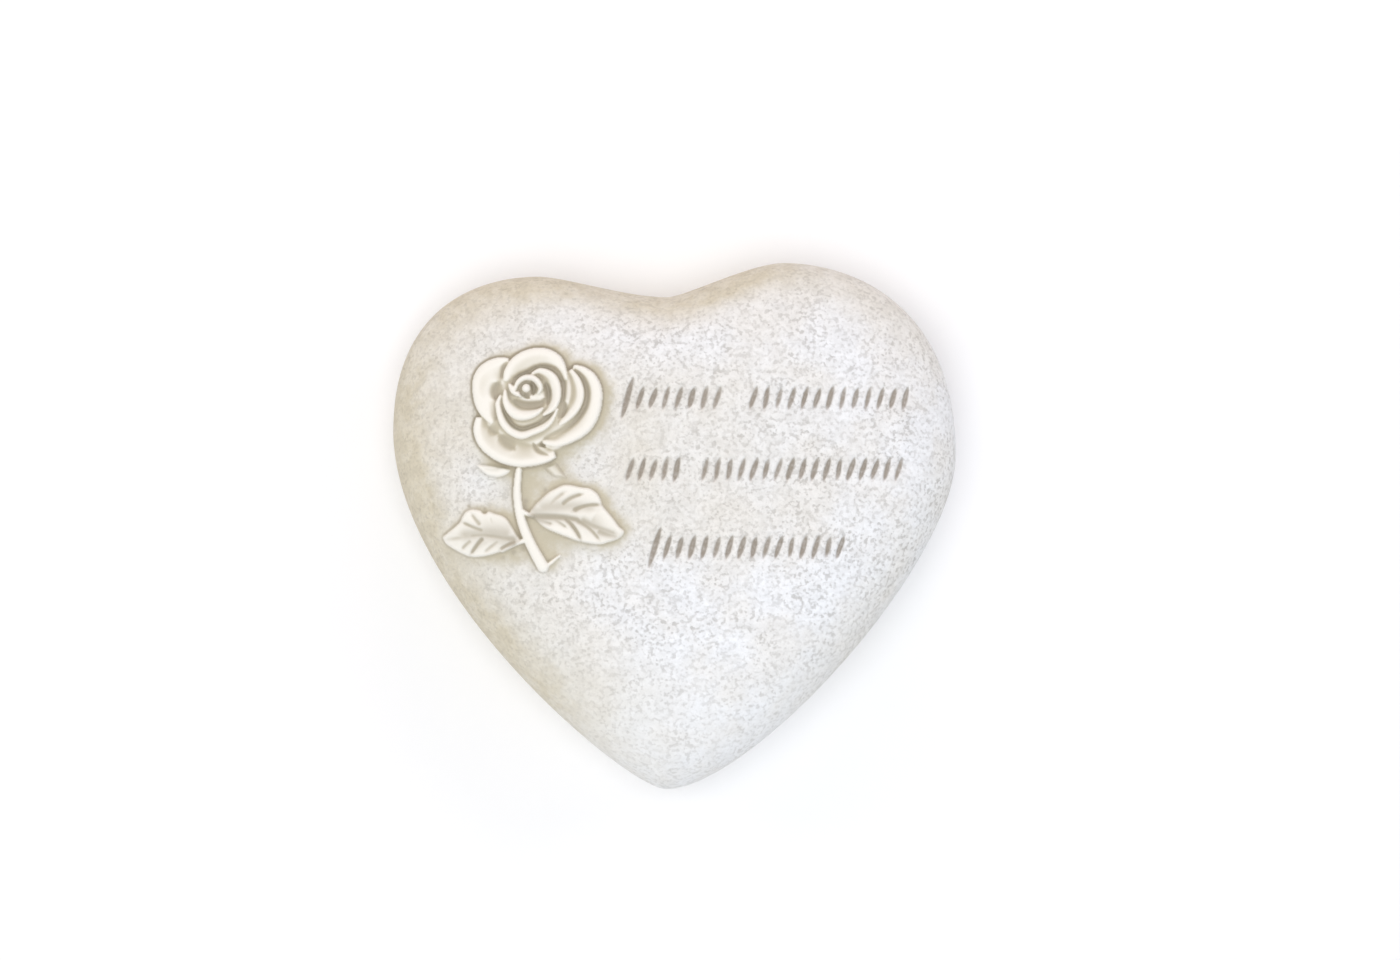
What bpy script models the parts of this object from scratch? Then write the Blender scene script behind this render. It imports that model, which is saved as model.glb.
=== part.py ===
"""Cast stone grave heart: a pillow shape with a rose in relief and engraved rows, cast as one body."""

from math import cos, pi, radians, sin, sqrt

import bmesh
import bpy
import numpy as np
from mathutils import Vector
from mathutils.geometry import interpolate_bezier

# The heart, in metres. It lies on its underside, lobes towards +Y, face up.
WIDTH = 0.160
LENGTH = 0.1496
WIDEST_HEIGHT = 0.018       # height of the widest line above the ground
EDGE_RISE = 0.018           # from the widest line up to the brow of the rolled edge
DOME_RISE = 0.008           # crown of the face above that brow
ROLL_POWER = 8.0            # how late the face starts to roll down: larger is a tighter roll
UNDERSIDE_INSET = 0.006     # how far the ground contact lies inside the widest line
POINTS_PER_ARC = 12         # points on each of the six arcs of the outline
SIDE_TURNS = (0.0, 0.12, 0.35, 0.65)    # rows of the side, as shares of the widest line's height
FACE_SHARES = (1.0, 0.994, 0.975, 0.945, 0.90, 0.84, 0.76, 0.66, 0.52, 0.36, 0.18, 0.06)

# The outline's six turning points as shares of half the width and half the length. Each has
# the heading of the line there and the lengths of the handles before and after it.
OUTLINE = (
    ((-0.030, -1.000), (1, 0), 0.140, 0.300),     # tip
    ((1.000, 0.270), (0, 1), 0.412, 0.590),       # right flank
    ((0.389, 1.000), (-1, 0), 0.225, 0.120),      # right lobe
    ((-0.028, 0.870), (-1, 0), 0.066, 0.150),     # notch
    ((-0.488, 0.948), (-1, 0), 0.103, 0.178),     # left lobe
    ((-1.000, 0.362), (0, -1), 0.498, 0.607),     # left flank
)

# The carving keeps its proportions: its places are counted in rose radii from the rose's centre.
ROSE_CENTRE = Vector((-0.247 * WIDTH, 0.242 * LENGTH))
ROSE_RADIUS = 0.117 * WIDTH
ROSE_RISE = 0.0036          # height of the innermost petals above the face
STEM_RISE = 0.0018
LEAF_RISE = 0.0020
SINK = 0.0015               # how deep every carved form is rooted in the face

# One line per petal: where its lip starts and ends in degrees, its distance from the rose's
# centre at the start, the middle and the end, its width, and its share of the rise.
PETALS = {
    "outer_left": (200, 112, (0.80, 0.71, 0.62), 0.27, 0.72),
    "outer_bottom": (200, 298, (0.84, 0.98, 0.96), 0.25, 0.78),
    "outer_top": (143, 22, (0.47, 0.62, 0.58), 0.23, 0.78),
    "outer_right": (36, -76, (0.79, 0.97, 0.75), 0.22, 0.72),
    "middle_right": (27, -44, (0.72, 0.74, 0.60), 0.14, 0.82),
    "middle_bottom": (182, 340, (0.46, 0.61, 0.48), 0.14, 0.86),
    "inner_right": (83, -52, (0.34, 0.40, 0.35), 0.14, 0.95),
    "inner_bottom": (172, 318, (0.33, 0.30, 0.27), 0.14, 0.94),
    "cup": (166, 22, (0.22, 0.22, 0.17), 0.10, 1.00),
}
PETAL_STATIONS = 11
PETAL_TIP = 0.25            # share of a lip's width that is left where it ends
PETAL_FULLNESS = 0.4        # how soon a lip reaches its full width: smaller is sooner
# Cross-section of a lip from its outer foot over the crest to its inner foot: place across
# as a share of the width, height as a share of the lip's rise.
LIP_SECTION = ((0.50, 0.35), (0.36, 0.80), (0.10, 1.00), (-0.22, 0.86), (-0.50, 0.40))

# Low rings that carry the petals: radius in rose radii and share of the rise.
CUSHION = ((0.84, 0.10), (0.78, 0.42), (0.50, 0.52), (0.22, 0.58))
BUD_CENTRE = (-0.06, 0.12)
BUD = ((0.085, 0.60), (0.080, 0.95), (0.055, 1.10), (0.020, 1.16))
ROUND_SIDES = 24

# The stem runs along one cubic curve: start, two handles, end. Widths at its top and its cut end.
STEM = ((-0.18, -1.05), (-0.31, -1.60), (-0.13, -2.07), (0.18, -2.53))
STEM_WIDTHS = (0.10, 0.16)
TWIG = ((0.24, -2.56), (0.31, -2.50), (0.36, -2.42), (0.42, -2.34))
TWIG_WIDTHS = (0.11, 0.06)
LEFT_SEPAL = ((-0.22, -1.08), (-0.42, -1.20), (-0.62, -1.14), (-0.82, -1.03))
RIGHT_SEPAL = ((0.02, -1.06), (0.22, -1.06), (0.38, -1.12), (0.54, -1.26))
SEPAL_WIDTHS = (0.14, 0.05)
STEM_STATIONS = 10
ROUND_SECTION = ((0.50, 0.20), (0.36, 0.75), (0.0, 1.00), (-0.36, 0.75), (-0.50, 0.20))

# A leaf: base, tip, bow of its midrib, then its half widths above and below the midrib from
# the base to the tip. The bow and the widths are shares of its length.
LEAVES = {
    "left_leaf": ((-0.12, -2.16), (-1.31, -2.07), 0.09,
                  (0.05, 0.15, 0.25, 0.285, 0.285, 0.335, 0.26, 0.11, 0.01),
                  (0.03, 0.15, 0.25, 0.30, 0.345, 0.30, 0.22, 0.135, 0.01)),
    "right_leaf": ((-0.07, -1.75), (1.37, -2.01), 0.05,
                   (0.05, 0.175, 0.27, 0.315, 0.345, 0.365, 0.33, 0.175, 0.01),
                   (0.03, 0.05, 0.13, 0.175, 0.235, 0.22, 0.175, 0.075, 0.01)),
}
LEAF_STATIONS = 17
# Heights across one blade, from the midrib's valley over the crown to the thin edge.
BLADE_SECTION = ((0.0, 0.45), (0.35, 1.00), (0.70, 0.90), (1.00, 0.40))
VEINS = 4                   # side veins on each blade
VEIN_DEPTH = 0.16           # share of the leaf's rise
VEIN_SLANT = 0.22           # how far a vein runs on towards the tip, as a share of the length
LEAF_END = 0.55             # share of the rise that is left at a leaf's two ends

# Rows of engraved strokes: height of the row's middle as a share of half the length, then its
# words as start and end, shares of half the width. The first stroke of some words is tall.
ROWS = (
    (0.478, ((-0.160, 0.150, True), (0.275, 0.805, False))),
    (0.215, ((-0.150, 0.010, False), (0.108, 0.780, False))),
    (-0.072, ((-0.065, 0.575, True),)),
)
STROKE_HEIGHT = 0.0080
TALL_STROKE_HEIGHT = 0.0135
STROKE_WIDTH = 0.0015
STROKE_DEPTH = 0.0008
STROKE_PITCH = 0.0034
STROKE_LEAN = radians(17)
SHORTER_STROKE = 0.88       # every third stroke keeps this share of its height
# Half of a stroke's outline, from its lower to its upper end: along and across, as shares.
STROKE_EDGE = ((-0.5, 0.0), (-0.3, 0.8), (0.0, 1.0), (0.3, 0.8))
FLOOR_SHARE = 0.5           # width of a stroke's floor as a share of its width at the face
STROKE_CLEARANCE = 0.0008   # how far the cutter stands out of the face

STONE_COLOUR = (0.82, 0.80, 0.74, 1.0)
STONE_ROUGHNESS = 0.92


def clear_scene():
    for item in list(bpy.data.objects):
        bpy.data.objects.remove(item, do_unlink=True)


def heart_outline():
    """Points once round the outline, anticlockwise from the tip."""
    half = Vector((WIDTH / 2, LENGTH / 2))
    points = []
    following = OUTLINE[1:] + OUTLINE[:1]
    for (place, heading, _, after), (next_place, next_heading, before, _) in zip(OUTLINE, following):
        start = Vector(place)
        end = Vector(next_place)
        curve = interpolate_bezier(start, start + Vector(heading) * after,
                                   end - Vector(next_heading) * before, end, POINTS_PER_ARC + 1)
        points += [Vector((p.x * half.x, p.y * half.y)) for p in curve[:-1]]
    return points


OUTLINE_POINTS = heart_outline()
OUTLINE_ANGLES = np.unwrap([np.arctan2(p.y, p.x) for p in OUTLINE_POINTS])
OUTLINE_RADII = [p.length for p in OUTLINE_POINTS]


def face_height(x, y):
    """Height of the plain domed face over a point of the ground plane."""
    reach = np.interp(np.arctan2(y, x), OUTLINE_ANGLES, OUTLINE_RADII, period=2 * pi)
    share = min(sqrt(x * x + y * y) / reach, 1.0)
    return face_height_at_share(x, y, share)


def face_height_at_share(x, y, share):
    """The same where the point's share of the way to the edge is known."""
    crown = 1 - (2 * x / WIDTH) ** 2 - (2 * y / LENGTH) ** 2
    return WIDEST_HEIGHT + (EDGE_RISE + DOME_RISE * crown) * sqrt(1 - share ** ROLL_POWER)


def loft(name, rows):
    """A closed body through rows of points, each row one closed loop, with both ends capped."""
    bm = bmesh.new()
    loops = [[bm.verts.new(point) for point in row] for row in rows]
    for lower, upper in zip(loops, loops[1:]):
        for i in range(len(lower)):
            j = (i + 1) % len(lower)
            bm.faces.new((lower[i], lower[j], upper[j], upper[i]))
    bm.faces.new(loops[0])
    bm.faces.new(loops[-1])
    bmesh.ops.recalc_face_normals(bm, faces=bm.faces)
    bmesh.ops.triangulate(bm, faces=bm.faces)
    mesh = bpy.data.meshes.new(name)
    bm.to_mesh(mesh)
    bm.free()
    item = bpy.data.objects.new(name, mesh)
    bpy.context.scene.collection.objects.link(item)
    return item


def heart_body():
    """The pillow: a flat underside, a bulging side and the domed face."""
    base_share = 1 - UNDERSIDE_INSET / (WIDTH / 2)
    rows = []
    for turn in SIDE_TURNS:
        share = base_share + (1 - base_share) * sin(turn * pi / 2)
        rows.append([Vector((p.x * share, p.y * share, WIDEST_HEIGHT * turn)) for p in OUTLINE_POINTS])
    for share in FACE_SHARES:
        rows.append([Vector((p.x * share, p.y * share, face_height_at_share(p.x * share, p.y * share, share)))
                     for p in OUTLINE_POINTS])
    return loft("grave_heart", rows)


def carved_point(place, across, rise):
    """A point beside the given place in the rose's frame, at a height above the face."""
    x = ROSE_CENTRE.x + ROSE_RADIUS * (place.x + across.x)
    y = ROSE_CENTRE.y + ROSE_RADIUS * (place.y + across.y)
    return Vector((x, y, face_height(x, y) + rise))


def ribbon(name, path, sideways, widths, rises, section):
    """A carved ridge along a path, with the same section swelling and thinning along it."""
    rows = []
    for place, side, width, rise in zip(path, sideways, widths, rises):
        row = [carved_point(place, side * (width * across), rise * high) for across, high in section]
        row.append(carved_point(place, side * (width * section[-1][0]), -SINK))
        row.insert(0, carved_point(place, side * (width * section[0][0]), -SINK))
        rows.append(row)
    return loft(name, rows)


def petal(name, start, end, reach, width, rise):
    """The rolled lip of one petal, on an arc round the rose's centre."""
    path = []
    sideways = []
    widths = []
    rises = []
    for step in range(PETAL_STATIONS):
        t = step / (PETAL_STATIONS - 1)
        angle = radians(start + (end - start) * t)
        out = Vector((cos(angle), sin(angle)))
        radius = reach[0] * (1 - t) * (1 - 2 * t) + reach[1] * 4 * t * (1 - t) + reach[2] * t * (2 * t - 1)
        swell = PETAL_TIP + (1 - PETAL_TIP) * max(sin(pi * t), 0) ** PETAL_FULLNESS
        path.append(out * radius)
        sideways.append(out)
        widths.append(width * swell)
        rises.append(ROSE_RISE * rise * sqrt(swell))
    return ribbon(name, path, sideways, widths, rises, LIP_SECTION)


def stalk(name, curve, ends, rise):
    """A half-round twig along a cubic curve, its width running from one end value to the other."""
    path = interpolate_bezier(*(Vector(p) for p in curve), STEM_STATIONS)
    sideways = []
    for step in range(STEM_STATIONS):
        along = path[min(step + 1, STEM_STATIONS - 1)] - path[max(step - 1, 0)]
        sideways.append(Vector((-along.y, along.x)).normalized())
    widths = [ends[0] + (ends[1] - ends[0]) * step / (STEM_STATIONS - 1) for step in range(STEM_STATIONS)]
    return ribbon(name, path, sideways, widths, [rise] * STEM_STATIONS, ROUND_SECTION)


def round_boss(name, centre, rings):
    """A low round form: rings of a radius and a share of the rose's rise, the first one rooted."""
    rows = []
    for radius, high in ((rings[0][0], None),) + rings:
        row = []
        for side in range(ROUND_SIDES):
            angle = 2 * pi * side / ROUND_SIDES
            out = Vector((cos(angle), sin(angle))) * radius
            row.append(carved_point(Vector(centre), out, -SINK if high is None else ROSE_RISE * high))
        rows.append(row)
    return loft(name, rows)


def leaf(name, base, tip, bow, upper, lower):
    """A leaf with a sunken midrib and slanted side veins."""
    base = Vector(base)
    along = Vector(tip) - base
    side = Vector((-along.y, along.x)) * (1 if along.x > 0 else -1)
    stations = np.linspace(0, 1, len(upper))
    rows = []
    for step in range(LEAF_STATIONS):
        t = step / (LEAF_STATIONS - 1)
        middle = base + along * t + side * (bow * sin(pi * t))
        half = (float(np.interp(t, stations, lower)), float(np.interp(t, stations, upper)))
        fade = LEAF_END + (1 - LEAF_END) * sqrt(max(sin(pi * t), 0))
        row = []
        for across, high in [(-a, h) for a, h in reversed(BLADE_SECTION[1:])] + list(BLADE_SECTION):
            width = half[1] if across > 0 else half[0]
            vein = cos(2 * pi * VEINS * (t - VEIN_SLANT * abs(across))) * VEIN_DEPTH * min(abs(across) * 3, 1)
            row.append(carved_point(middle, side * (width * across), LEAF_RISE * fade * (high + vein)))
        row.append(carved_point(middle, side * half[1], -SINK))
        row.insert(0, carved_point(middle, side * -half[0], -SINK))
        rows.append(row)
    return loft(name, rows)


def rose_relief():
    """Everything that stands out of the face, gathered in one collection for the union."""
    relief = [round_boss("cushion", (0, 0), CUSHION), round_boss("bud", BUD_CENTRE, BUD)]
    relief += [petal(name, *shape) for name, shape in PETALS.items()]
    relief += [leaf(name, *shape) for name, shape in LEAVES.items()]
    relief.append(stalk("stem", STEM, STEM_WIDTHS, STEM_RISE))
    relief.append(stalk("twig", TWIG, TWIG_WIDTHS, STEM_RISE))
    relief.append(stalk("left_sepal", LEFT_SEPAL, SEPAL_WIDTHS, STEM_RISE))
    relief.append(stalk("right_sepal", RIGHT_SEPAL, SEPAL_WIDTHS, STEM_RISE * 0.6))
    group = bpy.data.collections.new("relief")
    bpy.context.scene.collection.children.link(group)
    for item in relief:
        bpy.context.scene.collection.objects.unlink(item)
        group.objects.link(item)
        hide_guide(item)
    return group


def stroke_rows():
    """Centre and height of every engraved stroke, row by row and word by word."""
    strokes = []
    for middle, words in ROWS:
        for start, end, tall_first in words:
            left = start * WIDTH / 2
            right = end * WIDTH / 2
            gaps = max(round((right - left) / STROKE_PITCH), 1)
            for count in range(gaps + 1):
                height = TALL_STROKE_HEIGHT if tall_first and count == 0 else STROKE_HEIGHT
                if count % 3 == 2:
                    height *= SHORTER_STROKE
                strokes.append((left + (right - left) * count / gaps, middle * LENGTH / 2, height))
    return strokes


def stroke_cutter():
    """All strokes as one cutter: slim leaning lenses that narrow downwards."""
    bm = bmesh.new()
    lean = Vector((sin(STROKE_LEAN), cos(STROKE_LEAN)))
    side = Vector((lean.y, -lean.x))
    edge = STROKE_EDGE + tuple((-along, -across) for along, across in STROKE_EDGE)
    top_share = 1 + (1 - FLOOR_SHARE) * STROKE_CLEARANCE / STROKE_DEPTH
    for x, y, height in stroke_rows():
        loops = []
        for offset, spread in ((-STROKE_DEPTH, FLOOR_SHARE), (STROKE_CLEARANCE, top_share)):
            loop = []
            for along, across in edge:
                place = Vector((x, y)) + lean * (along * height) + side * (across * spread * STROKE_WIDTH / 2)
                loop.append(bm.verts.new((place.x, place.y, face_height(place.x, place.y) + offset)))
            loops.append(loop)
        for i in range(len(edge)):
            j = (i + 1) % len(edge)
            bm.faces.new((loops[0][i], loops[0][j], loops[1][j], loops[1][i]))
        bm.faces.new(loops[0])
        bm.faces.new(loops[1])
    bmesh.ops.recalc_face_normals(bm, faces=bm.faces)
    bmesh.ops.triangulate(bm, faces=bm.faces)
    mesh = bpy.data.meshes.new("strokes")
    bm.to_mesh(mesh)
    bm.free()
    cutter = bpy.data.objects.new("strokes", mesh)
    bpy.context.scene.collection.objects.link(cutter)
    hide_guide(cutter)
    return cutter


def hide_guide(item):
    item.hide_render = True
    item.display_type = "WIRE"


def stone_material():
    material = bpy.data.materials.new("cast stone")
    material.use_nodes = True
    shader = material.node_tree.nodes["Principled BSDF"]
    shader.inputs["Base Color"].default_value = STONE_COLOUR
    shader.inputs["Roughness"].default_value = STONE_ROUGHNESS
    shader.inputs["Metallic"].default_value = 0.0
    return material


def build():
    clear_scene()
    heart = heart_body()
    union = heart.modifiers.new("rose relief", "BOOLEAN")
    union.operation = "UNION"
    union.operand_type = "COLLECTION"
    union.collection = rose_relief()
    union.solver = "EXACT"
    cut = heart.modifiers.new("engraved strokes", "BOOLEAN")
    cut.operation = "DIFFERENCE"
    cut.object = stroke_cutter()
    cut.solver = "EXACT"
    heart.data.materials.append(stone_material())
    heart.data.shade_smooth()
    heart.data.set_sharp_from_angle(angle=radians(40))


build()
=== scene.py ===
"""Looks of the cast stone grave heart: its carved face, weathered stone, studio light and camera."""

from math import cos, pi, radians, sin, sqrt

import bpy
import numpy as np
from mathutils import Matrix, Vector
from mathutils.geometry import delaunay_2d_cdt, interpolate_bezier


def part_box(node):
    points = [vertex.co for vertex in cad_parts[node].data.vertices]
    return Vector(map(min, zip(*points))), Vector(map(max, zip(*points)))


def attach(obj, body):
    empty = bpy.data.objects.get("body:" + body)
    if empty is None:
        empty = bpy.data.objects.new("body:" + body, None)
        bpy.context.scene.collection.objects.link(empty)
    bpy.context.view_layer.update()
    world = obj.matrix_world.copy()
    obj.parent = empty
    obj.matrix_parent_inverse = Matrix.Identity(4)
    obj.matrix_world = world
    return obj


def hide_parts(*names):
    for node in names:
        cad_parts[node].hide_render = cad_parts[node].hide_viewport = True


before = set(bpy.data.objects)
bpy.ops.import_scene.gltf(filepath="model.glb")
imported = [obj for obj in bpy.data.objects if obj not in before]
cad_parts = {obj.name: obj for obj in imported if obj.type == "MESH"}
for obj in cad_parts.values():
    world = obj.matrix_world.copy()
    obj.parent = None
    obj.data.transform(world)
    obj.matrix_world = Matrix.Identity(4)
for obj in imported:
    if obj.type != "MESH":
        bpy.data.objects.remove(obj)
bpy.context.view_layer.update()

# Sizes of the heart, in metres, from the solid and from the values that shape it
NODE_LOW, NODE_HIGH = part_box("grave_heart")
WIDTH = NODE_HIGH.x - NODE_LOW.x
LENGTH = NODE_HIGH.y - NODE_LOW.y
WIDEST_HEIGHT = 0.018  # above the ground, where the side is widest
EDGE_RISE = 0.018      # from there up to the face without its dome
DOME_RISE = 0.008      # how much higher the middle of the face is
ROLL_POWER = 8.0       # a higher power rolls the face over into the side more tightly
UNDERSIDE_INSET = 0.006

# The outline's turning points: place, heading, handle before and handle after, as shares of
# half the width and half the length.
OUTLINE = (
    ((-0.030, -1.000), (1, 0), 0.140, 0.300),
    ((1.000, 0.270), (0, 1), 0.412, 0.590),
    ((0.389, 1.000), (-1, 0), 0.225, 0.120),
    ((-0.028, 0.870), (-1, 0), 0.066, 0.150),
    ((-0.488, 0.948), (-1, 0), 0.103, 0.178),
    ((-1.000, 0.362), (0, -1), 0.498, 0.607),
)
SPAN_POINTS = 121  # points on each span of the outline, before they are spaced evenly
OUTLINE_POINTS = 1440

# The carving, counted in rose radii from the rose's centre
ROSE_X = -0.247 * WIDTH
ROSE_Y = 0.242 * LENGTH
ROSE_RADIUS = 0.117 * WIDTH
ROSE_RISE = 0.0034
STEM_RISE = 0.0017
LEAF_RISE = 0.0019
ROSE_REACH = 1.25  # half the window in which the rose is carved

# Petals from the back to the front: points on the lip, the lip's width at its start, middle and
# end, the width of the slope inside it, and the lip's share of the rise.
PETALS = {
    "outer left": (
        ((-0.34, 0.56), (-0.50, 0.52), (-0.65, 0.42), (-0.74, 0.27), (-0.75, 0.08), (-0.73, -0.11),
         (-0.67, -0.28), (-0.58, -0.40)),
        (0.09, 0.25, 0.09), 0.25, 0.72),
    "outer bottom": (
        ((-0.80, -0.31), (-0.81, -0.49), (-0.73, -0.67), (-0.58, -0.81), (-0.40, -0.91), (-0.16, -0.97),
         (0.07, -0.97), (0.26, -0.94), (0.38, -0.90)),
        (0.09, 0.17, 0.06), 0.25, 0.74),
    "outer right": (
        ((0.64, 0.46), (0.78, 0.40), (0.90, 0.29), (0.97, 0.12), (0.97, -0.07), (0.92, -0.28),
         (0.81, -0.47), (0.63, -0.61), (0.40, -0.71), (0.19, -0.69)),
        (0.07, 0.19, 0.09), 0.13, 0.70),
    "middle right": (
        ((0.60, 0.40), (0.69, 0.28), (0.75, 0.12), (0.75, -0.04), (0.68, -0.21), (0.56, -0.34),
         (0.44, -0.43)),
        (0.06, 0.10, 0.06), 0.12, 0.78),
    "outer top": (
        ((-0.39, 0.24), (-0.35, 0.37), (-0.24, 0.50), (-0.08, 0.59), (0.11, 0.63), (0.27, 0.61),
         (0.41, 0.53), (0.49, 0.41), (0.54, 0.25)),
        (0.13, 0.19, 0.07), 0.23, 0.80),
    "middle bottom": (
        ((-0.45, 0.02), (-0.49, -0.10), (-0.46, -0.28), (-0.39, -0.43), (-0.27, -0.54), (-0.12, -0.59),
         (0.04, -0.54), (0.21, -0.47), (0.32, -0.37), (0.41, -0.19)),
        (0.09, 0.10, 0.06), 0.09, 0.84),
    "inner right": (
        ((0.01, 0.34), (0.13, 0.39), (0.26, 0.35), (0.36, 0.25), (0.41, 0.09), (0.40, -0.07), (0.32, -0.21),
         (0.20, -0.29)),
        (0.07, 0.115, 0.06), 0.12, 0.92),
    "inner bottom": (
        ((-0.38, 0.09), (-0.37, -0.07), (-0.30, -0.20), (-0.18, -0.28), (-0.05, -0.29), (0.09, -0.25),
         (0.19, -0.18)),
        (0.10, 0.16, 0.08), 0.07, 0.90),
    "cup front": (
        ((-0.32, 0.18), (-0.24, 0.08), (-0.14, -0.01)),
        (0.09, 0.12, 0.06), 0.04, 0.95),
    "cup": (
        ((-0.23, 0.08), (-0.20, 0.19), (-0.11, 0.27), (0.01, 0.28), (0.11, 0.22), (0.16, 0.12),
         (0.12, 0.03)),
        (0.09, 0.09, 0.07), 0.06, 1.00),
}
FLOOR_RISE = 0.38   # where the slope inside a lip ends, as a share of the rise
LIP_SAMPLES = 160
LIP_FOOT = 0.40     # how high the outside of a lip starts, as a share of its crest
LIP_ROUNDING = 2.8  # a higher power makes the top of the lip flatter
SWELL_POWER = 0.6   # how soon lips and hollows reach their full size

# What is left at the ends of a lip, as shares of its full width, slope and rise
LIP_END_WIDTH = 0.28
LIP_END_SLOPE = 0.4
LIP_END_RISE = 0.84

# Hollows between the lips: points, width, and depth as a share of the rise
HOLLOWS = (
    (((-0.48, 0.20), (-0.53, 0.09), (-0.51, -0.04)), 0.16, 0.34),
    (((-0.41, -0.12), (-0.35, -0.29), (-0.24, -0.44), (-0.09, -0.48), (0.07, -0.43), (0.23, -0.32),
      (0.34, -0.22)), 0.08, 0.30),
    (((-0.24, -0.06), (-0.14, -0.11), (0.00, -0.13), (0.16, -0.11), (0.25, -0.01)), 0.12, 0.40),
    (((0.50, -0.08), (0.50, -0.19), (0.46, -0.31)), 0.09, 0.34),
    (((0.23, 0.19), (0.26, 0.05), (0.25, -0.12)), 0.10, 0.40),
    (((-0.26, 0.18), (-0.20, 0.28), (-0.07, 0.34), (0.10, 0.42), (0.27, 0.43), (0.41, 0.36), (0.48, 0.21),
      (0.48, 0.00), (0.45, -0.23), (0.42, -0.32)), 0.088, 0.32),
    (((0.66, 0.39), (0.78, 0.25), (0.84, 0.07), (0.82, -0.12), (0.72, -0.29), (0.54, -0.46),
      (0.22, -0.62)), 0.11, 0.27),
    (((-0.45, -0.59), (-0.34, -0.70), (-0.24, -0.78)), 0.19, 0.22),
    (((-0.61, -0.45), (-0.48, -0.54)), 0.15, 0.16),
    (((0.04, -0.69), (0.12, -0.81), (0.28, -0.88)), 0.06, 0.22),
    (((-0.34, 0.55), (-0.41, 0.43), (-0.44, 0.27)), 0.06, 0.13),
    (((0.01, 0.22), (0.05, 0.12), (0.04, 0.02)), 0.06, 0.44),
    (((-0.11, 0.02), (-0.01, -0.03)), 0.06, 0.32),
)
HOLLOW_SAMPLES = 90
HOLLOW_END_WIDTH = 0.3  # what is left at the ends of a hollow, as shares of its middle
HOLLOW_END_DEPTH = 0.5
HOLLOW_FALL = 0.9       # a higher value makes its sides steeper
CLEAN_LIPS = 0.95       # the share of a hollow that a lip standing in it takes away

# Radius of the cushion under the lips by direction in degrees
CUSHION_ANGLES = (-73, -20, 20, 34, 83, 115, 156, 197, 248, 287)
CUSHION_RADII = (0.72, 0.93, 0.86, 0.70, 0.60, 0.60, 0.69, 0.78, 0.93, 0.93)
CUSHION_RISE = 0.50
ROSE_HEART = np.array((0.0, 0.10))
BUD_PLACE = (-0.063, 0.119)
BUD_RADIUS = 0.066
BUD_BASE = 0.62  # where the bud starts, as a share of the rise
BUD_RISE = 0.42
BUD_RING = 1.55  # radius of the painted shadow ring round the bud, in radii of the bud
BUD_RING_WIDTH = 0.45
# darkness of the painted shadow at the bud's lower right
BUD_SHADOW = 0.5

# Stem, twig and the stalks of the right and left leaf: the four points that steer each one, its
# width at both ends and its share of the stem's rise.
RIDGES = (
    (((-0.17, -1.09), (-0.24, -1.57), (-0.16, -1.94), (0.19, -2.51)), (0.105, 0.175), 1.0),
    (((0.21, -2.51), (0.31, -2.47), (0.35, -2.40), (0.44, -2.35)), (0.07, 0.035), 0.5),
    (((0.04, -1.76), (-0.05, -1.74), (-0.12, -1.70), (-0.17, -1.64)), (0.06, 0.08), 0.9),
    (((-0.42, -2.28), (-0.31, -2.23), (-0.22, -2.15), (-0.05, -2.12)), (0.05, 0.08), 0.9),
)

RIDGE_SAMPLES = 80
RIDGE_FOOT = 0.25  # height of a ridge at its sides, as a share of its rise
RIDGE_ROUNDING = 2.4

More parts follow.
